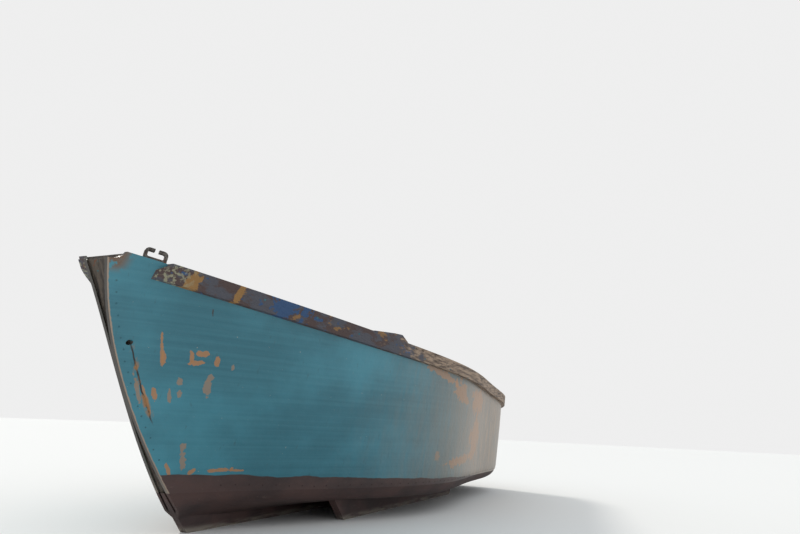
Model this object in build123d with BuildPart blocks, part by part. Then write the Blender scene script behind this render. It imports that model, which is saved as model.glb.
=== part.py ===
from build123d import *
import os
from math import atan2, cos, hypot, radians, sin, tan

# Open rowing boat, upright on its keel and bilge runners. Millimetres, +X to the
# bow, +Y to port, +Z up. The origin is on the ground under the middle of the length.

# Driving sizes of the hull
LENGTH = 3540              # over all, from the transom's top to the stem head
STEM_HEAD_Z = 948          # height of the bow
STEM_FOOT_X = 1176         # where the stem's curve meets the ground line
STEM_BULGE = 63            # how far that curve stands ahead of its chord
NOSE_RADIUS = 34           # rounding of the bow's top corner
TRANSOM_FOOT_X = -1702
TRANSOM_TOP_Z = 638        # at the quarters
PLANK = 12                 # thickness of the skin
SEAM_Z = 150               # where bottom and side planking meet
STRAKE_DROP = 200          # depth of the flared top strake

# Backbone
KEEL_WIDTH = 44
KEEL_ROOM_Z = 120          # the keel is cut from stock that reaches up to here
FOREFOOT_X = 1100          # its after face, where the hog butts
CUTWATER_WIDTH = 18        # the keel narrows to this at the stem
CUTWATER_X = 1300
HOG_WIDTH = 110
HOG_THICK = 26
STEM_SET_BACK = 10         # the stem post's face behind the planking's ends
STEM_DEPTH = 68
STEM_TOP_DROP = 10
TRANSOM_THICK = 24
TRANSOM_CROWN = 34
STERN_KNEE_ARM = 230
STERN_KNEE_THICK = 32

# Framing
FRAME_XS = [-1150, -620, -60, 430, 900]
RIB_SIDED = 26
RIB_DEPTH = 22
FLOOR_TOP_Z = 122
LIMBER_RADIUS = 12
LIMBER_Y = 95
RAIL_OUT = 25              # how far the rubbing rail stands off the planking
RAIL_DEPTH = 58
PORT_RAIL_END_X = 1635     # the port rail's forward end has rotted away
INWALE_THICK = 22
INWALE_DEPTH = 40
INWALE_END_X = 1385
RISER_THICK = 18
RISER_DEPTH = 40
RISER_SPAN = (-1640, 1190)
RUNNER_Y = 300
RUNNER_WIDTH = 34
RUNNER_SPAN = (-1120, 660)
RUNNER_TAPER = 160

# Seats and boards
SEAT_TOP_Z = 520
SEAT_THICK = 24
BOW_THWART = (890, 1100)
CENTRE_THWART = (-330, -90)
STERN_SEAT_FRONT_X = -1230
THWART_KNEE_THICK = 20
THWART_KNEE_FOOT = 110
POST_SIDE = 44
BOARD_THICK = 12
BOARD_WIDTH = 104
BOARD_PITCH = 118
BOARD_START_X = -1200
BOARD_END_XS = [905, 905, 700, 430]     # from the middle board outwards

# Bow fittings, knees and rowlocks
HOOK_THICK = 34
HOOK_DROP = 4
QUARTER_KNEE_ARM = 190
PAINTER_X = 1606
PAINTER_Z = 655
PAINTER_RADIUS = 9
ROWLOCK_X = 620
PAD_RISE = 26
PAD_BLUNT = 3              # height of the pad's two thin ends
PAD_SPAN = (557, 782)
PAD_CREST = (598, 648)
BLOCK_SPAN = (545, 795)
BLOCK_DEPTH = 60
SOCKET_BORE = 6.5
SOCKET_WALL = 2.5
SOCKET_LENGTH = 62
PLATE_LENGTH = 44
PLATE_WIDTH = 26
PLATE_THICK = 3
CHOCK_X = 1640
CHOCK_LENGTH = 78
CHOCK_THICK = 16
CHOCK_HEIGHT = 42
CHOCK_METAL = 11
CHOCK_GAP = 14
PLUG_RADIUS = 13
PLUG_HEAD = 18
PLUG_HEAD_THICK = 9
PLUG_RECESS = 2.5          # the plug's end behind the transom's outer face
PLUG_Y = 88
PLUG_Z = 122

# Sections of the hull's outer face, from the transom to a plane just ahead of the
# stem. flare is how far the top strake's lower edge stands off the straight side.
STATIONS = [
    # foot_x, head_x, keel_z, bilge_y, bilge_z, bilge_r, sheer_y, sheer_z, flare
    (TRANSOM_FOOT_X, -LENGTH / 2, 62, 330, 130, 70, 385, TRANSOM_TOP_Z, 2),
    (-1530, -1565, 54, 470, 115, 90, 515, 659, 2),
    (-1215, -1236, 44, 535, 105, 105, 590, 685, 3),
    (-529, -529, 40, 586, 98, 115, 661, 727, 4),
    (179, 179, 40, 580, 100, 115, 666, 766, 4),
    (608, 620, 40, 386, 108, 100, 581, 798, 1),
    (860, 886, 40, 240, 115, 85, 504, 823, -2),
    (1120, 1415, 40, 80, 115, 40, 284, 888, -6),
    (1290, 1845, 40, 10, 50, 10, -16, STEM_HEAD_Z + 12, 3),
]
OVER_CENTRE = 80           # the forms run past the centre plane and over the sheer, then
OVER_SHEER = 60            # are cut there
BEAM_ROOM = 900            # half-width and height of blocks that are cut to shape
ABOVE = 1200


def station_plane(row):
    """Plane of a section: its x runs to port and its y up the section's rake."""
    rake = atan2(row[1] - row[0], row[7])
    return Plane(origin=(row[0], 0, 0), x_dir=(0, 1, 0), z_dir=(cos(rake), 0, -sin(rake)))


def section_points(row, inset):
    """Keel, bilge, strake and top points of a section, moved inward by inset."""
    foot_x, head_x, keel_z, bilge_y, bilge_z, bilge_r, sheer_y, sheer_z, flare = row
    stretch = hypot(head_x - foot_x, sheer_z) / sheer_z
    keel_v = keel_z * stretch
    bilge_v = bilge_z * stretch
    sheer_v = sheer_z * stretch
    strake_v = (sheer_z - STRAKE_DROP) * stretch
    share = (strake_v - bilge_v) / (sheer_v - bilge_v)
    strake_y = bilge_y + (sheer_y - bilge_y) * share + flare
    floor_slope = (bilge_v - keel_v) / bilge_y
    side_slope = (strake_y - bilge_y) / (strake_v - bilge_v)
    top_slope = (sheer_y - strake_y) / (sheer_v - strake_v)
    in_keel_v = keel_v + inset * hypot(1, floor_slope)
    in_side = inset * hypot(1, side_slope)
    in_bilge_y = (bilge_y + side_slope * (in_keel_v - bilge_v) - in_side) / (1 - side_slope * floor_slope)
    return [
        Vector(-OVER_CENTRE, in_keel_v - floor_slope * OVER_CENTRE),
        Vector(in_bilge_y, in_keel_v + floor_slope * in_bilge_y),
        Vector(strake_y - in_side, strake_v),
        Vector(sheer_y - inset * hypot(1, top_slope) + top_slope * OVER_SHEER, sheer_v + OVER_SHEER),
    ]


def box_between(low, high, mode=Mode.ADD):
    """Block between two corners."""
    sizes = [high[axis] - low[axis] for axis in range(3)]
    middle = [(high[axis] + low[axis]) / 2 for axis in range(3)]
    with Locations(tuple(middle)):
        Box(*sizes, mode=mode)


def across(points, half_width, mode=Mode.ADD):
    """Prism across the boat whose outline in the centre plane is given."""
    with BuildSketch(Plane.XZ) as outline:
        with BuildLine():
            Polyline(*points, close=True)
        make_face()
    extrude(outline.sketch, amount=half_width, both=True, mode=mode)


def sheer_z(x):
    """Height of the sheer at x, straight from section to section."""
    for row, ahead in zip(STATIONS, STATIONS[1:]):
        if x <= ahead[1]:
            break
    return row[7] + (ahead[7] - row[7]) * (x - row[1]) / (ahead[1] - row[1])


def transom_x(z):
    """The transom's after face at height z."""
    return TRANSOM_FOOT_X - (LENGTH / 2 + TRANSOM_FOOT_X) * z / TRANSOM_TOP_Z


def stem_prism(set_back):
    """Everything behind the stem's curve, as a prism across the boat."""
    with BuildPart() as prism:
        with BuildSketch(Plane.XZ):
            with BuildLine():
                head = (LENGTH / 2 - set_back, STEM_HEAD_Z)
                foot = (STEM_FOOT_X - set_back, 0)
                SagittaArc(foot, head, -STEM_BULGE)
                Polyline(head, (head[0], ABOVE), (-LENGTH, ABOVE), (-LENGTH, 0), foot)
            make_face()
        extrude(amount=BEAM_ROOM, both=True)
        with BuildSketch(Plane.XZ):
            with BuildLine():
                low = (head[0] - NOSE_RADIUS / 3, head[1] - NOSE_RADIUS)
                high = (head[0] - NOSE_RADIUS * 1.4, head[1] - NOSE_RADIUS / 5)
                SagittaArc(low, high, NOSE_RADIUS / 3)
                Polyline(high, (high[0], 2 * ABOVE), (LENGTH, 2 * ABOVE), (LENGTH, low[1]), low)
            make_face()
        extrude(amount=2 * BEAM_ROOM, both=True, mode=Mode.SUBTRACT)
    return prism.part


behind_stem = stem_prism(0)
behind_stem_face = stem_prism(STEM_SET_BACK)
behind_stem_back = stem_prism(STEM_SET_BACK + STEM_DEPTH)


def hull_form(inset, rows=STATIONS):
    """Solid port half of the hull, inset from its outer face, not yet cut to its outline."""
    with BuildPart() as form:
        for row in rows:
            keel, bilge, strake, top = section_points(row, inset)
            floor_way = (keel - bilge).normalized()
            side_way = (strake - bilge).normalized()
            radius = max(row[5] - inset, 3)
            half_turn = radians(180 - floor_way.get_angle(side_way)) / 2
            reach = radius * tan(half_turn)
            turn_middle = bilge + (floor_way + side_way).normalized() * (radius / cos(half_turn) - radius)
            with BuildSketch(station_plane(row)):
                with BuildLine():
                    Polyline((-OVER_CENTRE, top.Y), keel, bilge + floor_way * reach)
                    ThreePointArc(bilge + floor_way * reach, turn_middle, bilge + side_way * reach)
                    Polyline(bilge + side_way * reach, strake, top, (-OVER_CENTRE, top.Y))
                make_face()
        loft()
    return form.part


def below_sheer(drop):
    """Everything under the sheer, or under a line by drop lower, as a prism across the boat."""
    line = [(row[1], row[7] - drop) for row in STATIONS]
    with BuildPart() as prism:
        with BuildSketch(Plane.XZ):
            with BuildLine():
                Spline(*line)
                Polyline(line[-1], (LENGTH, line[-1][1]), (LENGTH, -BEAM_ROOM), (-LENGTH, -BEAM_ROOM),
                         (-LENGTH, line[0][1]), line[0])
            make_face()
        extrude(amount=BEAM_ROOM, both=True)
    return prism.part


under_sheer = below_sheer(0)


def trimmed(form, low_z=0):
    """The part of a form on the port side, above low_z, under the sheer and behind the stem."""
    with BuildPart() as half:
        add(form)
        add(under_sheer, mode=Mode.INTERSECT)
        box_between((-LENGTH, 0, low_z), (LENGTH, BEAM_ROOM, ABOVE), mode=Mode.INTERSECT)
        add(behind_stem, mode=Mode.INTERSECT)
    return half.part


def both_halves(half):
    with BuildPart() as whole:
        add(half)
        mirror(about=Plane.XZ)
    return whole.part


def starboard_of(piece):
    with BuildPart() as copy:
        add(piece)
        mirror(about=Plane.XZ, mode=Mode.REPLACE)
    return copy.part


def half_breadth(form, x, z):
    """Half-width of a form at x and height z."""
    hits = form.find_intersection_points(Axis((x, 0.5, z), (0, 1, 0)))
    return max(hit[0].Y for hit in hits)


# Outer face, inside of the skin, outside of the rubbing rails, insides of ribs, risers and inwales
inner_rows = STATIONS[:-1]
outer_form = hull_form(0)
skin_form = hull_form(PLANK)
rail_form = hull_form(-RAIL_OUT)
rib_form = hull_form(PLANK + RIB_DEPTH, inner_rows)
riser_form = hull_form(PLANK + RIB_DEPTH + RISER_THICK, inner_rows)
inwale_form = hull_form(PLANK + RIB_DEPTH + INWALE_THICK, inner_rows)
skin_half = trimmed(skin_form)
rib_half = trimmed(rib_form)
skin_whole = both_halves(skin_half)
rib_whole = both_halves(rib_half)


def sheer_point(x):
    """Middle of the planking's top edge at x."""
    y = half_breadth(outer_form, x, sheer_z(x) - RAIL_DEPTH / 2) - PLANK / 2
    hits = under_sheer.find_intersection_points(Axis((x, y, 1), (0, 0, 1)))
    return Vector(x, y, max(hit[0].Z for hit in hits))


# The keel's outline in plan, narrowing to the cutwater
with BuildPart() as keel_room:
    with BuildSketch(Plane.XY):
        with BuildLine():
            Polyline(
                (-LENGTH, -KEEL_WIDTH / 2), (FOREFOOT_X, -KEEL_WIDTH / 2), (CUTWATER_X, -CUTWATER_WIDTH / 2),
                (LENGTH, -CUTWATER_WIDTH / 2), (LENGTH, CUTWATER_WIDTH / 2), (CUTWATER_X, CUTWATER_WIDTH / 2),
                (FOREFOOT_X, KEEL_WIDTH / 2), (-LENGTH, KEEL_WIDTH / 2), close=True,
            )
        make_face()
    extrude(amount=SEAM_Z)

# Keel with its forefoot, cut to the stem's curve
with BuildPart() as cockpit_room:
    add(skin_whole)
    box_between((-LENGTH, -BEAM_ROOM, 0), (FOREFOOT_X, BEAM_ROOM, ABOVE), mode=Mode.INTERSECT)
with BuildPart() as keel:
    across(
        [(TRANSOM_FOOT_X, 0), (LENGTH / 2, 0), (LENGTH / 2, SEAM_Z), (FOREFOOT_X, SEAM_Z),
         (FOREFOOT_X, KEEL_ROOM_Z), (transom_x(KEEL_ROOM_Z), KEEL_ROOM_Z)],
        KEEL_WIDTH / 2,
    )
    add(behind_stem, mode=Mode.INTERSECT)
    add(keel_room.part, mode=Mode.INTERSECT)
    add(cockpit_room.part, mode=Mode.SUBTRACT)

# Transom between the planking's after ends, with a crowned top
with BuildPart() as transom_half:
    across(
        [(transom_x(0) - TRANSOM_THICK, 0), (transom_x(0) + TRANSOM_THICK, 0),
         (transom_x(ABOVE) + TRANSOM_THICK, ABOVE), (transom_x(ABOVE) - TRANSOM_THICK, ABOVE)],
        BEAM_ROOM,
    )
    add(skin_form, mode=Mode.INTERSECT)
    box_between((-LENGTH, 0, 0), (LENGTH, BEAM_ROOM, ABOVE), mode=Mode.INTERSECT)
    with BuildSketch(station_plane(STATIONS[0])):
        with BuildLine():
            corner = section_points(STATIONS[0], PLANK)[3]
            low = corner.Y - OVER_SHEER - HOOK_DROP
            ThreePointArc((-corner.X, low), (0, low + TRANSOM_CROWN), (corner.X, low))
            Polyline((corner.X, low), (corner.X, -BEAM_ROOM), (-corner.X, -BEAM_ROOM), (-corner.X, low))
        make_face()
    extrude(amount=2 * TRANSOM_THICK, both=True, mode=Mode.INTERSECT)
with BuildPart() as transom:
    add(both_halves(transom_half.part))
    add(keel.part, mode=Mode.SUBTRACT)
    with BuildSketch(Plane.YZ.offset(-LENGTH)):
        with Locations((PLUG_Y, PLUG_Z)):
            Circle(PLUG_RADIUS)
    extrude(amount=2 * LENGTH, mode=Mode.SUBTRACT)

# Drain plug through the transom, flush outside, its head inside
with BuildPart() as drain_plug:
    plug_x = transom_x(PLUG_Z) + PLUG_RECESS
    head_x = plug_x + TRANSOM_THICK
    with BuildSketch(Plane.YZ.offset(plug_x)):
        with Locations((PLUG_Y, PLUG_Z)):
            Circle(PLUG_RADIUS)
    extrude(amount=head_x - plug_x)
    with BuildSketch(Plane.YZ.offset(head_x)):
        with Locations((PLUG_Y, PLUG_Z)):
            RegularPolygon(PLUG_HEAD, 6)
    extrude(amount=PLUG_HEAD_THICK)

# Hog on the keel and the bottom planking
with BuildPart() as hog:
    tops = [(row[0], row[2] + PLANK + HOG_THICK) for row in STATIONS if row[0] < FOREFOOT_X]
    across([(tops[0][0], 0)] + tops + [(FOREFOOT_X, tops[-1][1]), (FOREFOOT_X, 0)], HOG_WIDTH / 2)
    add(skin_whole, mode=Mode.INTERSECT)
    add(transom.part, mode=Mode.SUBTRACT)

# Stem post between the planking's forward ends, on the forefoot
with BuildPart() as stem_post:
    box_between((FOREFOOT_X, -BEAM_ROOM, SEAM_Z), (LENGTH, BEAM_ROOM, STEM_HEAD_Z - STEM_TOP_DROP))
    add(behind_stem_face, mode=Mode.INTERSECT)
    add(behind_stem_back, mode=Mode.SUBTRACT)
    add(skin_whole, mode=Mode.INTERSECT)
    with BuildSketch(Plane.XZ):
        with Locations((PAINTER_X, PAINTER_Z)):
            Circle(PAINTER_RADIUS)
    extrude(amount=BEAM_ROOM, both=True, mode=Mode.SUBTRACT)

# Planking in a side and a bottom panel, the bottom one up to the keel's sides
with BuildPart() as skin:
    add(outer_form)
    add(under_sheer, mode=Mode.INTERSECT)
    add(skin_form, mode=Mode.SUBTRACT)
with BuildPart() as side_planking:
    add(trimmed(skin.part, SEAM_Z))
    with BuildSketch(Plane.XZ):
        with Locations((PAINTER_X, PAINTER_Z)):
            Circle(PAINTER_RADIUS)
    extrude(amount=BEAM_ROOM, both=True, mode=Mode.SUBTRACT)
with BuildPart() as bottom_planking:
    add(skin.part)
    box_between((-LENGTH, 0, 0), (LENGTH, BEAM_ROOM, SEAM_Z), mode=Mode.INTERSECT)
    add(keel_room.part, mode=Mode.SUBTRACT)
    add(behind_stem, mode=Mode.INTERSECT)

# Bilge runners, as deep as the keel so that the boat stands level
with BuildPart() as bilge_runner:
    start, end = RUNNER_SPAN
    with BuildSketch(Plane.XZ.offset(-RUNNER_Y - RUNNER_WIDTH / 2)):
        with BuildLine():
            Polyline((start + RUNNER_TAPER, 0), (end - RUNNER_TAPER, 0), (end, SEAM_Z), (start, SEAM_Z),
                     close=True)
        make_face()
    extrude(amount=RUNNER_WIDTH)
    add(outer_form, mode=Mode.SUBTRACT)

# Rubbing rails round the sheer; the port one has lost its forward end
with BuildPart() as rail:
    add(rail_form)
    add(under_sheer, mode=Mode.INTERSECT)
    add(outer_form, mode=Mode.SUBTRACT)
    add(below_sheer(RAIL_DEPTH), mode=Mode.SUBTRACT)
    box_between((-LENGTH, 0, 0), (LENGTH, BEAM_ROOM, ABOVE), mode=Mode.INTERSECT)
    add(behind_stem, mode=Mode.INTERSECT)
with BuildPart() as rub_rail_port:
    add(rail.part)
    across(
        [(PORT_RAIL_END_X, 0), (PORT_RAIL_END_X, sheer_z(PORT_RAIL_END_X) - 30),
         (PORT_RAIL_END_X - 22, sheer_z(PORT_RAIL_END_X) - 12), (PORT_RAIL_END_X + 6, ABOVE),
         (LENGTH, ABOVE), (LENGTH, 0)],
        BEAM_ROOM, mode=Mode.SUBTRACT,
    )

# Ribs on the skin and floor timbers across the hog
with BuildPart() as ribs:
    for frame_x in FRAME_XS:
        box_between((frame_x - RIB_SIDED / 2, 0, FLOOR_TOP_Z), (frame_x + RIB_SIDED / 2, BEAM_ROOM, ABOVE))
    add(skin_half, mode=Mode.INTERSECT)
    add(rib_form, mode=Mode.SUBTRACT)
with BuildPart() as floor_timbers:
    for frame_x in FRAME_XS:
        box_between((frame_x - RIB_SIDED / 2, -BEAM_ROOM, 0), (frame_x + RIB_SIDED / 2, BEAM_ROOM, FLOOR_TOP_Z))
    add(skin_whole, mode=Mode.INTERSECT)
    add(hog.part, mode=Mode.SUBTRACT)
    with BuildSketch(Plane.YZ.offset(-LENGTH)):
        with Locations((-LIMBER_Y, KEEL_ROOM_Z / 2), (LIMBER_Y, KEEL_ROOM_Z / 2)):
            Circle(LIMBER_RADIUS)
    extrude(amount=2 * LENGTH, mode=Mode.SUBTRACT)

# Inwales inside the ribs' heads, and the blocks that fill between under the rowlocks
with BuildPart() as inwale:
    add(rib_half)
    add(inwale_form, mode=Mode.SUBTRACT)
    add(below_sheer(INWALE_DEPTH), mode=Mode.SUBTRACT)
    across(
        [(transom_x(0) + TRANSOM_THICK, 0), (INWALE_END_X, 0), (INWALE_END_X, ABOVE),
         (transom_x(ABOVE) + TRANSOM_THICK, ABOVE)],
        BEAM_ROOM, mode=Mode.INTERSECT,
    )
with BuildPart() as rowlock_block:
    box_between((BLOCK_SPAN[0], 0, sheer_z(ROWLOCK_X) - BLOCK_DEPTH), (BLOCK_SPAN[1], BEAM_ROOM, ABOVE))
    add(skin_half, mode=Mode.INTERSECT)
    add(rib_form, mode=Mode.SUBTRACT)

# Risers under the seats
riser_top_z = SEAT_TOP_Z - SEAT_THICK
with BuildPart() as riser:
    box_between((RISER_SPAN[0], 0, riser_top_z - RISER_DEPTH), (RISER_SPAN[1], BEAM_ROOM, riser_top_z))
    add(rib_half, mode=Mode.INTERSECT)
    add(riser_form, mode=Mode.SUBTRACT)


def seat(start_x, end_x):
    """Board across the boat, with its ends on the risers."""
    with BuildPart() as board:
        box_between((start_x, -BEAM_ROOM, riser_top_z), (end_x, BEAM_ROOM, SEAT_TOP_Z))
        add(rib_whole, mode=Mode.INTERSECT)
        add(transom.part, mode=Mode.SUBTRACT)
    return board


bow_thwart = seat(*BOW_THWART)
centre_thwart = seat(*CENTRE_THWART)
stern_seat = seat(transom_x(SEAT_TOP_Z), STERN_SEAT_FRONT_X)

# Post from the hog to the centre thwart
post_x = sum(CENTRE_THWART) / 2
with BuildPart() as thwart_post:
    box_between((post_x - POST_SIDE / 2, -POST_SIDE / 2, 0), (post_x + POST_SIDE / 2, POST_SIDE / 2, riser_top_z))
    add(skin_whole, mode=Mode.INTERSECT)
    add(hog.part, mode=Mode.SUBTRACT)

# Knees that stand on the thwarts against the inwales
with BuildPart() as thwart_knees:
    for span in (BOW_THWART, CENTRE_THWART):
        knee_x = sum(span) / 2
        side_y = half_breadth(rib_form, knee_x, SEAT_TOP_Z + 1)
        top_z = sheer_z(knee_x) - INWALE_DEPTH
        with BuildSketch(Plane.YZ.offset(knee_x - THWART_KNEE_THICK / 2)):
            with BuildLine():
                foot = (side_y - THWART_KNEE_FOOT, SEAT_TOP_Z)
                head = (half_breadth(rib_form, knee_x, top_z) - INWALE_THICK, top_z)
                SagittaArc(foot, head, -18)
                Polyline(head, (BEAM_ROOM, top_z), (BEAM_ROOM, SEAT_TOP_Z), foot)
            make_face()
        extrude(amount=THWART_KNEE_THICK)
    add(rib_half, mode=Mode.INTERSECT)
    add(inwale.part, mode=Mode.SUBTRACT)

# Bottom boards on the floor timbers
boards = []
for place, end_x in enumerate(BOARD_END_XS):
    with BuildPart() as board:
        low_y = place * BOARD_PITCH - BOARD_WIDTH / 2
        box_between((BOARD_START_X, low_y, FLOOR_TOP_Z), (end_x, low_y + BOARD_WIDTH, FLOOR_TOP_Z + BOARD_THICK))
        add(rib_whole, mode=Mode.INTERSECT)
        add(thwart_post.part, mode=Mode.SUBTRACT)
    boards.append(board.part)
with BuildPart() as bottom_boards:
    for board_part in boards[1:]:
        add(board_part)

# Stern knee between hog and transom
with BuildPart() as stern_knee:
    knee_z = STATIONS[0][2]
    across(
        [(transom_x(knee_z), knee_z), (transom_x(knee_z) + TRANSOM_THICK + STERN_KNEE_ARM, knee_z),
         (transom_x(knee_z) + TRANSOM_THICK + STERN_KNEE_ARM, knee_z + HOG_THICK + PLANK + 24),
         (transom_x(knee_z) + TRANSOM_THICK + 60, knee_z + HOG_THICK + PLANK + 60),
         (transom_x(knee_z + STERN_KNEE_ARM) + TRANSOM_THICK + 30, knee_z + STERN_KNEE_ARM),
         (transom_x(knee_z + STERN_KNEE_ARM), knee_z + STERN_KNEE_ARM)],
        STERN_KNEE_THICK / 2,
    )
    add(hog.part, mode=Mode.SUBTRACT)
    add(transom.part, mode=Mode.SUBTRACT)
    add(skin_whole, mode=Mode.INTERSECT)

# Quarter knees in the corners of transom and inwales
with BuildPart() as quarter_knee:
    corner_z = TRANSOM_TOP_Z - HOOK_DROP
    corner_y = half_breadth(rib_form, transom_x(corner_z) + TRANSOM_THICK, corner_z - 1)
    ahead_x = transom_x(corner_z) + TRANSOM_THICK + QUARTER_KNEE_ARM
    ahead_y = half_breadth(rib_form, ahead_x, corner_z) - INWALE_THICK
    with BuildSketch(Plane.XY.offset(corner_z - HOOK_THICK)):
        with BuildLine():
            arm = (transom_x(corner_z), corner_y - QUARTER_KNEE_ARM)
            SagittaArc(arm, (ahead_x, ahead_y), 34)
            Polyline((ahead_x, ahead_y), (ahead_x, BEAM_ROOM), (transom_x(corner_z), BEAM_ROOM), arm)
        make_face()
    extrude(amount=HOOK_THICK)
    add(rib_half, mode=Mode.INTERSECT)
    add(transom.part, mode=Mode.SUBTRACT)
    add(inwale.part, mode=Mode.SUBTRACT)

# Breasthook between the planking's forward ends
with BuildPart() as breasthook:
    hook_end_x = LENGTH / 2 - STEM_SET_BACK
    across(
        [(INWALE_END_X, sheer_z(INWALE_END_X) - HOOK_DROP - HOOK_THICK),
         (hook_end_x, sheer_z(hook_end_x) - HOOK_DROP - HOOK_THICK),
         (hook_end_x, sheer_z(hook_end_x) - HOOK_DROP), (INWALE_END_X, sheer_z(INWALE_END_X) - HOOK_DROP)],
        BEAM_ROOM,
    )
    add(behind_stem_back, mode=Mode.INTERSECT)
    add(skin_whole, mode=Mode.INTERSECT)

# Rowlocks: a wedge-shaped pad on the gunwale with a metal socket through it
crest_z = sheer_z(ROWLOCK_X) + PAD_RISE
socket_radius = SOCKET_BORE + SOCKET_WALL
socket_foot_z = crest_z - SOCKET_LENGTH
socket_y = half_breadth(skin_form, ROWLOCK_X, socket_foot_z) - socket_radius - 1
with BuildPart() as rowlock_pad:
    plan_xs = [PAD_SPAN[0], sum(PAD_SPAN) / 2, PAD_SPAN[1]]
    with BuildSketch(Plane.XY.offset(sheer_z(PAD_SPAN[0]) - PAD_RISE)):
        with BuildLine():
            outside = [(x, half_breadth(rail_form, x, sheer_z(x) - PAD_BLUNT)) for x in plan_xs]
            inside = [(x, half_breadth(inwale_form, x, sheer_z(x) - PAD_BLUNT)) for x in plan_xs]
            Polyline(*outside, *reversed(inside), close=True)
        make_face()
    extrude(amount=BEAM_ROOM)
    across(
        [(PAD_SPAN[0], 0), (PAD_SPAN[0], sheer_z(PAD_SPAN[0]) + PAD_BLUNT), (PAD_CREST[0], crest_z),
         (PAD_CREST[1], crest_z), (PAD_SPAN[1], sheer_z(PAD_SPAN[1]) + PAD_BLUNT), (PAD_SPAN[1], 0)],
        BEAM_ROOM, mode=Mode.INTERSECT,
    )
    add(under_sheer, mode=Mode.SUBTRACT)
with BuildPart() as rowlock_socket:
    with BuildSketch(Plane.XY.offset(socket_foot_z)):
        with Locations((ROWLOCK_X, socket_y)):
            Circle(socket_radius)
    extrude(amount=SOCKET_LENGTH)
    with BuildSketch(Plane.XY.offset(crest_z)):
        with Locations((ROWLOCK_X, socket_y)):
            SlotOverall(PLATE_LENGTH, PLATE_WIDTH)
    extrude(amount=PLATE_THICK)
    with BuildSketch(Plane.XY.offset(socket_foot_z)):
        with Locations((ROWLOCK_X, socket_y)):
            Circle(SOCKET_BORE)
    extrude(amount=SOCKET_LENGTH + PLATE_THICK, mode=Mode.SUBTRACT)


def bored(piece):
    """The piece with the rowlock socket's hole."""
    with BuildPart() as drilled:
        add(piece)
        with BuildSketch(Plane.XY.offset(socket_foot_z)):
            with Locations((ROWLOCK_X, socket_y)):
                Circle(socket_radius)
        extrude(amount=ABOVE, mode=Mode.SUBTRACT)
    return drilled.part


# Open bow chock on the port sheer, its two horns curling towards each other
chock_half = CHOCK_LENGTH / 2
chock_ends = []
for end_x in (CHOCK_X - chock_half, CHOCK_X + chock_half):
    chock_ends.append(sheer_point(end_x))
chock_way = (chock_ends[1] - chock_ends[0]).normalized()
chock_plane = Plane(
    origin=(chock_ends[0] + chock_ends[1]) / 2, x_dir=chock_way, z_dir=Vector(-chock_way.Y, chock_way.X, 0)
)
chock_side = chock_plane.z_dir
with BuildPart() as bow_chock:
    with BuildSketch(chock_plane.offset(-CHOCK_THICK / 2)):
        with Locations((0, -CHOCK_HEIGHT / 2)):
            RectangleRounded(CHOCK_LENGTH, CHOCK_HEIGHT, CHOCK_HEIGHT / 2.6)
        Rectangle(CHOCK_LENGTH, CHOCK_METAL * 2)
        with Locations((0, -CHOCK_HEIGHT / 2)):
            RectangleRounded(CHOCK_LENGTH - 2 * CHOCK_METAL, CHOCK_HEIGHT - 2 * CHOCK_METAL, CHOCK_METAL / 2,
                             mode=Mode.SUBTRACT)
        with Locations((0, -CHOCK_HEIGHT + CHOCK_METAL / 2)):
            Rectangle(CHOCK_GAP, CHOCK_METAL * 2, mode=Mode.SUBTRACT)
    extrude(amount=CHOCK_THICK)
    add(under_sheer, mode=Mode.SUBTRACT)

os.makedirs("parts", exist_ok=True)
single = {
    "keel": keel.part,
    "hog": hog.part,
    "stem_post": stem_post.part,
    "transom": transom.part,
    "stern_knee": stern_knee.part,
    "drain_plug": drain_plug.part,
    "floor_timbers": floor_timbers.part,
    "rub_rail_port": bored(rub_rail_port.part),
    "rub_rail_starboard": starboard_of(bored(rail.part)),
    "breasthook": breasthook.part,
    "bow_thwart": bow_thwart.part,
    "centre_thwart": centre_thwart.part,
    "stern_seat": stern_seat.part,
    "thwart_post": thwart_post.part,
    "bottom_board_centre": boards[0],
    "bow_chock": bow_chock.part,
}
paired = {
    "side_planking": side_planking.part,
    "bottom_planking": bottom_planking.part,
    "bilge_runner": bilge_runner.part,
    "ribs": ribs.part,
    "inwale": bored(inwale.part),
    "rowlock_block": bored(rowlock_block.part),
    "riser": riser.part,
    "thwart_knees": thwart_knees.part,
    "bottom_boards": bottom_boards.part,
    "quarter_knee": quarter_knee.part,
    "rowlock_pad": bored(rowlock_pad.part),
    "rowlock_socket": rowlock_socket.part,
}
for name, piece in paired.items():
    single[name + "_port"] = piece
    single[name + "_starboard"] = starboard_of(piece)
for name, piece in single.items():
    piece.label = name
    export_step(piece, "parts/" + name + ".step")
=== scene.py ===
import math

import bpy
from mathutils import Matrix, Vector


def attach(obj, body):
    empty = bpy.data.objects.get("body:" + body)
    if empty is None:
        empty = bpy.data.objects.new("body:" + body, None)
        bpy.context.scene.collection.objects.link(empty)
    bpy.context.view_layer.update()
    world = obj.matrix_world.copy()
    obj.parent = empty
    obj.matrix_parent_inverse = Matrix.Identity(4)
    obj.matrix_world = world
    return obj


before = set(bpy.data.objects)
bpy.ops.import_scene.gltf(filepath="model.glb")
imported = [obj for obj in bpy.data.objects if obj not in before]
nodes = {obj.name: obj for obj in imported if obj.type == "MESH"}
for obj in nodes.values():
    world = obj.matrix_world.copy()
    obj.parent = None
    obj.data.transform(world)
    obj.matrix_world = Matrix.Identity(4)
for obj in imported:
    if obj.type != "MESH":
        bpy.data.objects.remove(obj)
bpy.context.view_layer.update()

# The viewpoint is low, a stride off the port bow, looking aft along the side. The
# lens and place follow from the sheer, the stem and the paint line.
IMAGE_WIDTH = 800
FOCAL_PIXELS = 604.77
SENSOR_MM = 36
NEAREST_SEEN = 0.02
eye = Vector((3.11177, 1.70658, 0.41781))
eye_right = Vector((-0.39717, 0.91671, 0.04353))
eye_down = Vector((-0.25173, -0.0632, -0.96573))
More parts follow.
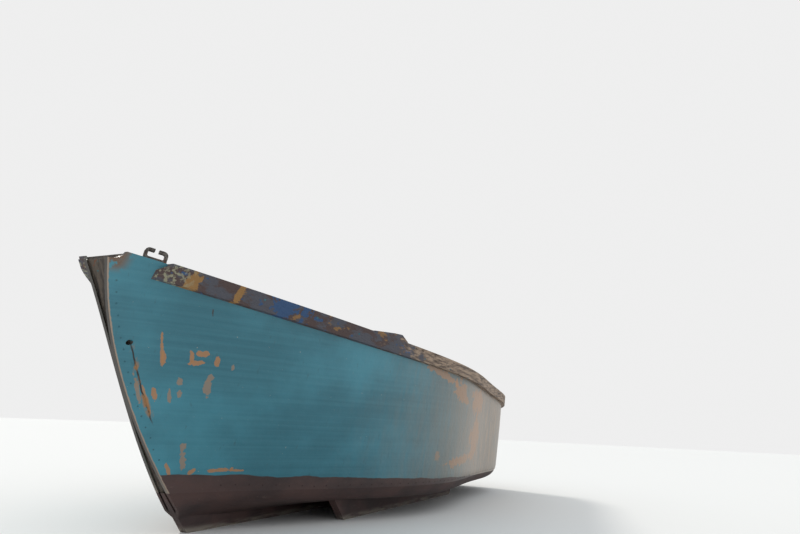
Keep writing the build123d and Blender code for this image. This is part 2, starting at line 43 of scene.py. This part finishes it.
eye_ahead = Vector((-0.88254, -0.39452, 0.25587))
camera_data = bpy.data.cameras.new("camera")
camera_data.sensor_width = SENSOR_MM
camera_data.lens = FOCAL_PIXELS * SENSOR_MM / IMAGE_WIDTH
camera_data.clip_start = NEAREST_SEEN
camera = bpy.data.objects.new("camera", camera_data)
view_turn = Matrix((eye_right, -eye_down, -eye_ahead)).transposed().to_4x4()
camera.matrix_world = Matrix.Translation(eye) @ view_turn
bpy.context.scene.collection.objects.link(camera)
bpy.context.scene.camera = camera
bpy.context.scene.view_settings.view_transform = "Standard"

# Soft light all round, with a low warm sun from the far side that catches the top
# edges and leaves the port side in open shade.
SKY_LEVEL = 0.95
SKY_TINT = (0.93, 0.97, 1.0, 1)
BACKDROP_GREY = 0.86
SUN_LEVEL = 1.6
SUN_TINT = (1.0, 0.95, 0.88)
SUN_SPREAD = 12
SUN_FROM = (-0.35, -0.75, 0.72)
FLOOR_SIZE = 60
FLOOR_TINT = (0.74, 0.74, 0.73, 1)
world = bpy.data.worlds.new("sky")
bpy.context.scene.world = world
world.use_nodes = True
sky_nodes = world.node_tree.nodes
sky_links = world.node_tree.links
sky_nodes["Background"].inputs["Color"].default_value = SKY_TINT
sky_nodes["Background"].inputs["Strength"].default_value = SKY_LEVEL
seen = sky_nodes.new("ShaderNodeBackground")
seen.inputs["Color"].default_value = (BACKDROP_GREY, BACKDROP_GREY, BACKDROP_GREY, 1)
ray = sky_nodes.new("ShaderNodeLightPath")
either = sky_nodes.new("ShaderNodeMath")
either.operation = "MAXIMUM"
sky_links.new(ray.outputs["Is Camera Ray"], either.inputs[0])
sky_links.new(ray.outputs["Is Glossy Ray"], either.inputs[1])
choose = sky_nodes.new("ShaderNodeMixShader")
sky_links.new(either.outputs[0], choose.inputs[0])
sky_links.new(sky_nodes["Background"].outputs[0], choose.inputs[1])
sky_links.new(seen.outputs[0], choose.inputs[2])
sky_links.new(choose.outputs[0], sky_nodes["World Output"].inputs["Surface"])
sun_data = bpy.data.lights.new("sun", "SUN")
sun_data.energy = SUN_LEVEL
sun_data.angle = math.radians(SUN_SPREAD)
sun_data.color = SUN_TINT
sun = bpy.data.objects.new("sun", sun_data)
sun.rotation_euler = Vector(SUN_FROM).to_track_quat("Z", "Y").to_euler()
bpy.context.scene.collection.objects.link(sun)
bpy.ops.mesh.primitive_plane_add(size=FLOOR_SIZE)
floor = bpy.context.object
floor.name = "floor"
floor_look = bpy.data.materials.new("pale floor")
floor_look.use_nodes = True
floor_look.node_tree.nodes["Principled BSDF"].inputs["Base Color"].default_value = FLOOR_TINT
floor_look.node_tree.nodes["Principled BSDF"].inputs["Roughness"].default_value = 0.9
floor.data.materials.append(floor_look)

# Side planking and transom: plywood panels on the stem post and ribs, painted teal
# above a bottom line that was cut in by hand, stained towards the stern and paler there,
# partly from faded paint and partly as a painted highlight on the sunlit stern quarter,
# with old paint showing in scraped places and worn edges along the stem. Faces turned up
# are painted pale, partly worn bare edge and partly painted highlight, and the cut plank
# ends facing forward are painted dark as painted shade.
WATERLINE_Z = 0.1755
WATERLINE_RISE = 0.0326
WATERLINE_WAVE = 0.030
STEM_ARC_CENTRE = (-0.6045, 1.7758)
STEM_ARC_RADIUS = 2.5146


def paint(red, green, blue):
    """A colour as it looks, 0 to 255, in the shader's linear values."""
    return tuple(((c / 255 + 0.055) / 1.055) ** 2.4 if c > 10 else c / 255 / 12.92
                 for c in (red, green, blue)) + (1,)


class Finish:
    """A principled material under construction, with a few short ways to join nodes."""

    def __init__(self, name, roughness, coat=0.0, metallic=0.0):
        self.material = bpy.data.materials.new(name)
        self.material.use_nodes = True
        self.tree = self.material.node_tree
        self.shader = self.tree.nodes["Principled BSDF"]
        self.shader.inputs["Roughness"].default_value = roughness
        self.shader.inputs["Coat Weight"].default_value = coat
        self.shader.inputs["Metallic"].default_value = metallic
        self.place = self.tree.nodes.new("ShaderNodeTexCoord").outputs["Object"]
        split = self.tree.nodes.new("ShaderNodeSeparateXYZ")
        self.tree.links.new(self.place, split.inputs[0])
        self.x, self.y, self.z = split.outputs
        way = self.tree.nodes.new("ShaderNodeSeparateXYZ")
        self.tree.links.new(self.tree.nodes.new("ShaderNodeNewGeometry").outputs["Normal"], way.inputs[0])
        self.way_x, self.way_y, self.way_z = way.outputs

    def feed(self, value, socket):
        if isinstance(value, bpy.types.NodeSocket):
            self.tree.links.new(value, socket)
        else:
            socket.default_value = value

    def math(self, operation, first, second=0.0):
        node = self.tree.nodes.new("ShaderNodeMath")
        node.operation = operation
        self.feed(first, node.inputs[0])
        self.feed(second, node.inputs[1])
        return node.outputs[0]

    def add(self, first, second):
        return self.math("ADD", first, second)

    def less(self, first, second):
        return self.math("SUBTRACT", first, second)

    def times(self, first, second):
        return self.math("MULTIPLY", first, second)

    def far(self, across, up):
        """Length of the step (across, up)."""
        return self.math("SQRT", self.add(self.times(across, across), self.times(up, up)))

    def noise(self, scale, detail=4.0, rough=0.55, shift=0.0):
        spread = self.tree.nodes.new("ShaderNodeMapping")
        self.tree.links.new(self.place, spread.inputs["Vector"])
        spread.inputs["Scale"].default_value = scale
        node = self.tree.nodes.new("ShaderNodeTexNoise")
        node.noise_dimensions = "4D"
        node.inputs["W"].default_value = shift
        node.inputs["Scale"].default_value = 1.0
        node.inputs["Detail"].default_value = detail
        node.inputs["Roughness"].default_value = rough
        self.tree.links.new(spread.outputs[0], node.inputs["Vector"])
        return node.outputs["Fac"]

    def ramp(self, value, low, high, bottom=0.0, top=1.0):
        node = self.tree.nodes.new("ShaderNodeMapRange")
        node.interpolation_type = "SMOOTHSTEP"
        self.feed(value, node.inputs["Value"])
        for number, name in ((low, "From Min"), (high, "From Max"), (bottom, "To Min"), (top, "To Max")):
            node.inputs[name].default_value = number
        return node.outputs[0]

    def spots(self, scale, low, high, detail=4.0, rough=0.55, shift=0.0, top=1.0):
        """Mask of the places where noise of this scale rises from low to high."""
        return self.ramp(self.noise(scale, detail, rough, shift), low, high, 0.0, top)

    def mix(self, amount, under, over):
        node = self.tree.nodes.new("ShaderNodeMix")
        node.data_type = "RGBA"
        self.feed(amount, node.inputs[0])
        self.feed(under, node.inputs[6])
        self.feed(over, node.inputs[7])
        return node.outputs[2]

    def patch(self, x, z, half_x, half_z, turn=0.0, ragged=0.6, grain=60.0):
        """Mask of a ragged-edged spot on the port side, turned by turn degrees."""
        away_x = self.less(self.x, x)
        away_z = self.less(self.z, z)
        c, s = math.cos(math.radians(turn)), math.sin(math.radians(turn))
        along = self.add(self.times(away_x, c / half_x), self.times(away_z, s / half_x))
        up = self.add(self.times(away_x, -s / half_z), self.times(away_z, c / half_z))
        edge = self.times(self.less(self.noise((grain, grain, grain), 5.0, 0.6, x), 0.5), 4 * ragged)
        inside = self.ramp(self.add(self.far(along, up), edge), 1.0, 0.93)
        return self.times(inside, self.math("GREATER_THAN", self.y, 0.0))

    def bump(self, height, distance):
        node = self.tree.nodes.new("ShaderNodeBump")
        node.inputs["Strength"].default_value = 1.0
        node.inputs["Distance"].default_value = distance
        self.tree.links.new(height, node.inputs["Height"])
        self.tree.links.new(node.outputs[0], self.shader.inputs["Normal"])

    def done(self, colour):
        self.feed(colour, self.shader.inputs["Base Color"])
        return self.material


def dress(material, *names):
    for name in names:
        mesh = nodes[name].data
        mesh.materials.clear()
        mesh.materials.append(material)


def both(*names):
    """The port and starboard nodes of each name."""
    return [name + end for name in names for end in ("_port", "_starboard")]


TEAL = paint(60, 130, 147)
TEAL_DEEP = paint(40, 100, 115)
TEAL_LIGHT = paint(76, 142, 155)
TEAL_RUN = paint(44, 78, 86)
# Pale grey of the stern quarter: partly faded paint, partly painted highlight of the sunlit quarter.
FADED_AND_SUNLIT_GREY = paint(122, 113, 101)
STAIN = paint(184, 144, 110)
PRIMER = paint(146, 104, 62)
PRIMER_RED = paint(118, 66, 46)
CREAM = paint(205, 188, 158)
OCHRE = paint(164, 116, 72)
PINK = paint(138, 118, 100)
OLD_BLUE = paint(44, 74, 112)
GREY_WOOD = paint(120, 112, 102)
DARK_WOOD = paint(52, 44, 38)
INSIDE_GREEN = paint(128, 138, 124)


def side_colour(look):
    """Teal with its streaks and chips and a paler stern, partly faded paint and partly painted highlight,
    without what belongs to one side.
    """
    colour = look.mix(look.spots((2.2, 2.2, 2.6), 0.35, 0.7), TEAL_DEEP, TEAL)
    colour = look.mix(look.spots((1.2, 1.2, 70), 0.3, 0.75, 3.0, top=0.22), colour, TEAL_LIGHT)
    # The paler grey towards the stern is partly faded paint and partly painted highlight, standing for the
    # stern quarter turning to the sun.
    streaks = look.noise((34, 34, 1.6), 4.0, 0.6, 3.0)
    aft = look.ramp(look.add(look.x, look.times(streaks, -0.5)), 0.55, -0.75)
    colour = look.mix(look.times(aft, look.ramp(streaks, 0.2, 0.6, 0.8, 1.0)), colour, FADED_AND_SUNLIT_GREY)
    warm = look.times(look.ramp(look.x, -0.15, -0.75), look.spots((44, 44, 4.5), 0.40, 0.70, 5.0, 0.65, 7.0))
    colour = look.mix(look.times(warm, 0.5), colour, STAIN)
    colour = look.mix(look.spots((60, 60, 2.4), 0.62, 0.72, 4.0, 0.6, 11.0, 0.35), colour, TEAL_RUN)
    colour = look.mix(look.spots((46, 46, 46), 0.70, 0.73, 6.0, 0.7, 5.0), colour, PRIMER_RED)
    return look.mix(look.spots((120, 120, 120), 0.71, 0.74, 3.0, 0.6, 9.0, 0.7), colour, CREAM)


def bottom_colour(look):
    """Matt red-brown bottom paint, rubbed and dusty."""
    colour = look.mix(look.spots((5, 5, 7), 0.35, 0.68, 5.0), paint(50, 36, 35), paint(74, 52, 48))
    colour = look.mix(look.spots((9, 60, 60), 0.6, 0.74, 5.0, 0.65, 2.0, 0.5), colour, paint(110, 92, 84))
    return look.mix(look.spots((90, 90, 90), 0.68, 0.72, 4.0, 0.6, 4.0, 0.6), colour, paint(40, 62, 78))


def inside_colour(look):
    """Dull grey-green paint of the inside, dirty low down."""
    colour = look.mix(look.spots((3, 3, 3), 0.3, 0.7, 5.0), INSIDE_GREEN, paint(100, 108, 98))
    colour = look.mix(look.spots((40, 40, 2), 0.55, 0.7, top=0.4), colour, paint(96, 80, 62))
    return look.mix(look.ramp(look.z, 0.30, 0.10, 0.0, 0.7), colour, paint(70, 60, 50))


def waterline(look):
    """1 under the hand-cut paint line."""
    wave = look.times(look.less(look.noise((7, 7, 0.01), 3.0, 0.5, 1.0), 0.5), WATERLINE_WAVE)
    line = look.add(look.times(look.x, WATERLINE_RISE), look.add(wave, WATERLINE_Z))
    return look.ramp(look.less(look.z, line), 0.0012, -0.0012)


def stem_distance(look):
    """Distance aft of the stem's curve, in the centre plane."""
    away_x = look.less(look.x, STEM_ARC_CENTRE[0])
    away_z = look.less(look.z, STEM_ARC_CENTRE[1])
    return look.less(STEM_ARC_RADIUS, look.far(away_x, away_z))


SCRAPES = [
    # x, z, half_x, half_z, turn, colour
    (1.512, 0.634, 0.0046, 0.0567, -21, OCHRE),
    (1.500, 0.618, 0.0058, 0.0249, -21, OCHRE),
    (1.391, 0.642, 0.0253, 0.0102, 2, OCHRE),
    (1.402, 0.608, 0.0233, 0.0094, -11, OCHRE),
    (1.422, 0.627, 0.0062, 0.0256, -22, OCHRE),
    (1.338, 0.619, 0.0091, 0.0207, -23, OCHRE),
    (1.333, 0.525, 0.0138, 0.0284, -23, PINK),
    (1.338, 0.561, 0.0114, 0.0119, -31, PINK),
    (1.422, 0.539, 0.0083, 0.0146, -22, PINK),
    (1.408, 0.499, 0.0084, 0.0110, -22, PINK),
    (1.434, 0.489, 0.0054, 0.0218, -21, PINK),
    (1.481, 0.496, 0.0065, 0.0293, -26, OCHRE),
    (1.279, 0.603, 0.0079, 0.0115, -23, PINK),
    (1.324, 0.314, 0.0091, 0.0152, -21, PINK),
    (1.306, 0.265, 0.0108, 0.0343, -21, PINK),
    (1.342, 0.230, 0.0058, 0.0300, -33, OCHRE),
    (1.262, 0.225, 0.0160, 0.0094, -35, OCHRE),
    (1.167, 0.231, 0.0451, 0.0077, -4, OCHRE),
    (1.105, 0.229, 0.0294, 0.0045, 1, OCHRE),
    (1.426, 0.787, 0.0026, 0.0164, -24, DARK_WOOD),
    (1.530, 0.502, 0.0055, 0.0576, -27, PINK),
    (1.494, 0.471, 0.0045, 0.0515, -30, OCHRE),
    (0.137, 0.682, 0.1750, 0.0187, 10, OCHRE),
    (-0.095, 0.617, 0.1251, 0.0498, 14, OCHRE),
    (-0.483, 0.585, 0.1662, 0.0703, -4, OCHRE),
    (-0.507, 0.363, 0.1352, 0.1167, -10, OCHRE),
    (-0.240, 0.258, 0.1963, 0.0270, -4, OCHRE),
    (0.118, 0.286, 0.0233, 0.0252, -16, PINK),
]
BROAD_HALF_X = 0.1
CRACK_FROM_STEM = 0.030
CRACK_WANDER = 0.02
side = Finish("teal side paint", 0.42, 0.12)
colour = side_colour(side)
for x, z, half_x, half_z, turn, tint in SCRAPES:
    broad = half_x > BROAD_HALF_X
    ragged, grain, strength = (0.9, 22.0, 0.62) if broad else (0.6, 60.0, 0.85)
    mask = side.patch(x, z, half_x, half_z, turn, ragged, grain)
    colour = side.mix(side.times(mask, strength), colour, tint)
from_stem = stem_distance(side)
crack_place = side.add(CRACK_FROM_STEM, side.times(side.noise((9, 9, 9), 3.0), CRACK_WANDER))
crack = side.math("ABSOLUTE", side.less(from_stem, crack_place))
crack_ends = side.times(side.ramp(side.z, 0.67, 0.63), side.ramp(side.z, 0.38, 0.42))
crack_line = side.times(side.ramp(crack, 0.0024, 0.0010), crack_ends)
colour = side.mix(crack_line, colour, paint(40, 30, 26))
bled = side.times(side.ramp(crack, 0.014, 0.002), side.spots((30, 30, 12), 0.5, 0.62, 4.0, 0.6, 6.0))
colour = side.mix(side.times(bled, crack_ends), colour, PRIMER)
nose = side.times(side.ramp(side.x, 1.69, 1.73), side.ramp(side.z, 0.86, 0.90))
nose = side.times(nose, side.spots((34, 34, 34), 0.42, 0.5, 5.0, 0.6, 31.0))
colour = side.mix(nose, colour, paint(103, 81, 64))
colour = side.mix(waterline(side), colour, bottom_colour(side))
stem_edge = side.add(from_stem, side.times(side.noise((50, 50, 50), 4.0), 0.006))
colour = side.mix(side.ramp(stem_edge, 0.0075, 0.0055), colour, paint(150, 132, 116))
# The cut plank ends facing forward are painted dark brown-grey: painted shade for the shadowed gap at the stem.
shaded_plank_end = side.ramp(side.way_x, 0.72, 0.80)
colour = side.mix(shaded_plank_end, colour, paint(66, 62, 58))
# Faces turned up are painted pale cream-grey and brown: partly worn bare edge, partly painted highlight where
# the sun catches the top.
worn_and_lit_top = side.ramp(side.way_z, 0.75, 0.9)
worn_and_lit_edge_colour = side.mix(side.spots((26, 26, 26), 0.40, 0.60, 5.0), paint(128, 118, 104), paint(88, 66, 48))
colour = side.mix(worn_and_lit_top, colour, worn_and_lit_edge_colour)
inner = side.ramp(side.times(side.way_y, side.math("SIGN", side.y)), -0.05, -0.2)
colour = side.mix(inner, colour, inside_colour(side))
plank_height = side.add(side.times(side.noise((2, 2, 60), 4.0), 0.5), side.noise((45, 45, 45), 5.0))
side.bump(side.less(plank_height, crack_line), 0.0022)
dress(side.done(colour), *both("side_planking"), "transom")

# Bottom planking, keel and bilge runners: the same ply and softwood under red-brown
# bottom paint, scuffed down to the wood where the boat is dragged ashore.
bottom = Finish("bottom paint", 0.72)
colour = bottom_colour(bottom)
dragged = bottom.times(bottom.ramp(bottom.z, 0.03, 0.004), bottom.spots((8, 60, 60), 0.35, 0.6, 5.0))
colour = bottom.mix(dragged, colour, GREY_WOOD)
upward = bottom.ramp(bottom.way_z, 0.3, 0.6)
colour = bottom.mix(upward, colour, inside_colour(bottom))
bottom.bump(bottom.noise((10, 60, 60), 6.0, 0.6), 0.003)
dress(bottom.done(colour), *both("bottom_planking", "bilge_runner"), "keel")

# Rubbing rails and rowlock pads: softwood strips screwed through the planking, in
# dull brown and grey paint with ochre and blue left in places, bare grey wood aft.
RAIL_MARKS = [
    # x, half_x, colour
    (1.541, 0.022, paint(140, 104, 58)),
    (1.390, 0.012, paint(140, 104, 58)),
    (1.216, 0.055, OLD_BLUE),
    (1.137, 0.018, OLD_BLUE),
]
RAIL_MARK_Z = 0.855
RAIL_MARK_HALF_Z = 0.060
rail = Finish("worn rail", 0.7)
grain = rail.noise((5, 90, 90), 6.0, 0.65)
wood = rail.mix(rail.ramp(grain, 0.35, 0.62), paint(74, 60, 50), paint(158, 136, 116))
wood = rail.mix(rail.spots((3, 120, 120), 0.60, 0.66, 5.0, 0.7, 8.0), wood, DARK_WOOD)
blotch = rail.noise((9, 22, 22), 5.0, 0.6, 2.0)
painted = rail.mix(rail.ramp(blotch, 0.45, 0.55), paint(74, 58, 56), paint(74, 74, 82))
painted = rail.mix(rail.spots((12, 24, 24), 0.60, 0.64, 5.0, 0.6, 13.0), painted, paint(128, 96, 60))
painted = rail.mix(rail.spots((15, 30, 30), 0.62, 0.65, 5.0, 0.6, 17.0), painted, OLD_BLUE)
for x, half_x, tint in RAIL_MARKS:
    painted = rail.mix(rail.patch(x, RAIL_MARK_Z, half_x, RAIL_MARK_HALF_Z), painted, tint)
bare = rail.ramp(rail.add(rail.x, rail.times(rail.less(blotch, 0.5), 1.4)), 0.62, 0.45)
worn_top = rail.times(rail.ramp(rail.way_z, 0.5, 0.85), rail.spots((20, 60, 60), 0.42, 0.5, 5.0, 0.6, 19.0))
colour = rail.mix(rail.math("MAXIMUM", bare, worn_top), painted, wood)
lichen = rail.times(rail.ramp(rail.x, 1.50, 1.60), rail.spots((60, 60, 60), 0.5, 0.6, 5.0, 0.6, 23.0))
colour = rail.mix(rail.times(lichen, 0.8), colour, paint(150, 148, 122))
rail.bump(rail.add(grain, rail.times(blotch, 0.6)), 0.006)
dress(rail.done(colour), *both("rub_rail", "rowlock_pad"))

# Stem post, breasthook and quarter knees: solid timber fastened in the corners of the
# hull, dark and split by weather, with crumbs of old paint.
post = Finish("dark weathered timber", 0.8)
grain = post.noise((30, 60, 6), 6.0, 0.65)
colour = post.mix(post.ramp(grain, 0.35, 0.65), paint(38, 34, 32), paint(92, 82, 72))
colour = post.mix(post.spots((40, 40, 40), 0.6, 0.66, 5.0, 0.6, 4.0), colour, paint(110, 64, 40))
colour = post.mix(post.spots((50, 50, 50), 0.64, 0.68, 5.0, 0.6, 6.0), colour, paint(52, 94, 100))
post.bump(grain, 0.006)
dress(post.done(colour), *both("quarter_knee"), "stem_post", "breasthook")

# Thwarts, stern seat, inwales, boards, blocks and thwart knees: bare softwood that has
# gone silver-brown. The grain runs across the boat in the seats, along it in the rest.


def bare_timber(name, scale, light, dark):
    look = Finish(name, 0.68)
    figure = look.noise(scale, 6.0, 0.62)
    tint = look.mix(look.ramp(figure, 0.34, 0.64), paint(*dark), paint(*light))
    tint = look.mix(look.spots((2.5, 2.5, 2.5), 0.35, 0.7, 4.0, 0.5, 3.0, 0.5), tint, paint(96, 92, 86))
    tint = look.mix(look.spots((70, 70, 70), 0.68, 0.72, 3.0, 0.6, 5.0, 0.7), tint, DARK_WOOD)
    look.bump(figure, 0.003)
    return look.done(tint)


ALONG = (3, 55, 55)
ACROSS = (55, 3, 55)
dress(bare_timber("thwart timber", ACROSS, (150, 124, 92), (88, 68, 48)),
      "bow_thwart", "centre_thwart", "stern_seat")
dress(bare_timber("board timber", ALONG, (140, 122, 98), (80, 66, 52)), "bottom_board_centre",
      *both("bottom_boards", "inwale", "rowlock_block", "thwart_knees"))

# Ribs, floor timbers, risers, hog, thwart post and stern knee: framing glued and
# nailed to the planking, painted with the inside.
inside = Finish("inside paint", 0.6)
inside.bump(inside.noise((40, 40, 40), 5.0), 0.002)
dress(inside.done(inside_colour(inside)), *both("ribs", "riser"), "floor_timbers", "hog", "thwart_post",
      "stern_knee")

# Bow chock and rowlock sockets: galvanized castings screwed down on the timber, dark
# and rust-stained. The drain plug is brass.
iron = Finish("old zinc", 0.55, metallic=0.75)
mottle = iron.noise((90, 90, 90), 5.0, 0.6)
colour = iron.mix(iron.ramp(mottle, 0.42, 0.6), paint(64, 60, 58), paint(104, 100, 96))
colour = iron.mix(iron.spots((60, 60, 60), 0.58, 0.64, 5.0, 0.6, 3.0), colour, paint(104, 62, 40))
iron.bump(mottle, 0.001)
dress(iron.done(colour), *both("rowlock_socket"), "bow_chock")
brass = Finish("dull brass", 0.4, metallic=0.9)
tarnish = brass.noise((80, 80, 80), 5.0)
brass.bump(tarnish, 0.0006)
colour = brass.mix(brass.ramp(tarnish, 0.4, 0.6), paint(120, 96, 56), paint(176, 146, 88))
dress(brass.done(colour), "drain_plug")

# Fastenings: nails hold the side planking to the stem post and along the bottom seam,
# and screws hold the rubbing rails to the inwales. They sit a little unevenly, so each
# place is moved at random and cast onto the surface under it.
heads = bpy.data.node_groups.new("rows of heads", "GeometryNodeTree")
heads.is_modifier = True
join = heads.links.new


def head_node(kind, **settings):
    node = heads.nodes.new(kind)
    for name, value in settings.items():
        setattr(node, name, value)
    return node


for socket_name, socket_kind in (("Points", "Geometry"), ("Target", "Object"), ("Aim", "Vector"),
                                 ("Head radius", "Float"), ("Head thickness", "Float"),
                                 ("Unevenness", "Float"), ("Seed", "Int"), ("Finish", "Material")):
    heads.interface.new_socket(name=socket_name, in_out="INPUT", socket_type="NodeSocket" + socket_kind)
heads.interface.new_socket(name="Heads", in_out="OUTPUT", socket_type="NodeSocketGeometry")
given = head_node("NodeGroupInput").outputs
wobble = head_node("FunctionNodeRandomValue", data_type="FLOAT_VECTOR")
wobble.inputs[0].default_value = (-1, -1, -1)
wobble.inputs[1].default_value = (1, 1, 1)
join(given["Seed"], wobble.inputs["Seed"])
spread = head_node("ShaderNodeVectorMath", operation="SCALE")
join(wobble.outputs[0], spread.inputs[0])
join(given["Unevenness"], spread.inputs["Scale"])
moved = head_node("GeometryNodeSetPosition")
join(given["Points"], moved.inputs["Geometry"])
join(spread.outputs[0], moved.inputs["Offset"])
solid = head_node("GeometryNodeObjectInfo", transform_space="RELATIVE")
join(given["Target"], solid.inputs["Object"])
cast = head_node("GeometryNodeRaycast")
cast.inputs["Ray Length"].default_value = 2.0
join(solid.outputs["Geometry"], cast.inputs["Target Geometry"])
join(given["Aim"], cast.inputs["Ray Direction"])
missed = head_node("FunctionNodeBooleanMath", operation="NOT")
join(cast.outputs["Is Hit"], missed.inputs[0])
kept = head_node("GeometryNodeDeleteGeometry")
join(moved.outputs[0], kept.inputs["Geometry"])
join(missed.outputs[0], kept.inputs["Selection"])
faced = head_node("GeometryNodeStoreNamedAttribute", data_type="FLOAT_VECTOR")
faced.inputs["Name"].default_value = "facing"
join(kept.outputs[0], faced.inputs["Geometry"])
join(cast.outputs["Hit Normal"], faced.inputs["Value"])
landed = head_node("GeometryNodeSetPosition")
join(faced.outputs[0], landed.inputs["Geometry"])
join(cast.outputs["Hit Position"], landed.inputs["Position"])
facing = head_node("GeometryNodeInputNamedAttribute", data_type="FLOAT_VECTOR")
facing.inputs["Name"].default_value = "facing"
turned = head_node("FunctionNodeAlignRotationToVector", axis="Z")
join(facing.outputs["Attribute"], turned.inputs["Vector"])
disc = head_node("GeometryNodeMeshCylinder")
disc.inputs["Vertices"].default_value = 10
join(given["Head radius"], disc.inputs["Radius"])
join(given["Head thickness"], disc.inputs["Depth"])
placed = head_node("GeometryNodeInstanceOnPoints")
join(landed.outputs[0], placed.inputs["Points"])
join(disc.outputs["Mesh"], placed.inputs["Instance"])
join(turned.outputs[0], placed.inputs["Rotation"])
real = head_node("GeometryNodeRealizeInstances")
join(placed.outputs[0], real.inputs[0])
finished = head_node("GeometryNodeSetMaterial")
join(real.outputs[0], finished.inputs["Geometry"])
join(given["Finish"], finished.inputs["Material"])
join(finished.outputs[0], head_node("NodeGroupOutput").inputs[0])

STEM_NAILS = 17
STEM_NAIL_FOOT_Z = 0.27
STEM_NAIL_PITCH = 0.036
STEM_NAIL_INSET = 0.019
SEAM_NAILS = 54
SEAM_NAIL_AFT_X = -1.62
SEAM_NAIL_PITCH = 0.052
SEAM_NAIL_Z = 0.163
SEAM_LIFTS_FROM = 46
SEAM_LIFT = 0.022 / 12
HEAD_SEED = 4
stem_row = []
for step in range(STEM_NAILS):
    nail_z = STEM_NAIL_FOOT_Z + STEM_NAIL_PITCH * step
    reach = math.sqrt((STEM_ARC_RADIUS - STEM_NAIL_INSET) ** 2 - (nail_z - STEM_ARC_CENTRE[1]) ** 2)
    stem_row.append((STEM_ARC_CENTRE[0] + reach, nail_z))
seam_row = [(SEAM_NAIL_AFT_X + SEAM_NAIL_PITCH * step, SEAM_NAIL_Z + SEAM_LIFT * max(0, step - SEAM_LIFTS_FROM))
            for step in range(SEAM_NAILS)]
rail_row = [(-1.60, 0.615), (-1.35, 0.618), (-1.10, 0.628), (-0.85, 0.640), (-0.60, 0.655), (-0.35, 0.672),
            (-0.10, 0.692), (0.15, 0.714), (0.40, 0.738), (0.86, 0.792), (1.08, 0.820), (1.30, 0.850)]
ROWS = [
    # name, places, fastened piece, head radius, head thickness, unevenness
    ("stem_nails", stem_row, "side_planking", 0.0032, 0.0012, 0.0020),
    ("seam_nails", seam_row, "side_planking", 0.0030, 0.0012, 0.0020),
    ("rail_screws", rail_row, "rub_rail", 0.0045, 0.0006, 0.0030),
]
nail = Finish("rusty nail head", 0.6, metallic=0.5)
colour = nail.mix(nail.spots((70, 70, 70), 0.45, 0.55, 3.0), paint(52, 100, 114), paint(66, 108, 118))
nail_paint = nail.done(nail.mix(nail.ramp(nail.z, 0.200, 0.194), colour, paint(60, 44, 42)))
for row, places, on, radius, thickness, unevenness in ROWS:
    for side_name, side_sign in (("port", 1), ("starboard", -1)):
        points = bpy.data.meshes.new(row + "_" + side_name)
        points.from_pydata([(place_x, side_sign, place_z) for place_x, place_z in places], [], [])
        piece = bpy.data.objects.new(row + "_" + side_name, points)
        bpy.context.scene.collection.objects.link(piece)
        change = piece.modifiers.new("heads", "NODES")
        change.node_group = heads
        values = {"Target": nodes[on + "_" + side_name], "Aim": (0, -side_sign, 0), "Head radius": radius,
                  "Head thickness": thickness, "Unevenness": unevenness, "Seed": HEAD_SEED + side_sign,
                  "Finish": nail_paint}
        for item in heads.interface.items_tree:
            if item.name in values:
                change[item.identifier] = values[item.name]
        piece.update_tag()
        bpy.context.view_layer.update()
        made = bpy.data.meshes.new_from_object(piece.evaluated_get(bpy.context.evaluated_depsgraph_get()))
        piece.modifiers.clear()
        piece.data = made
        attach(piece, "root")
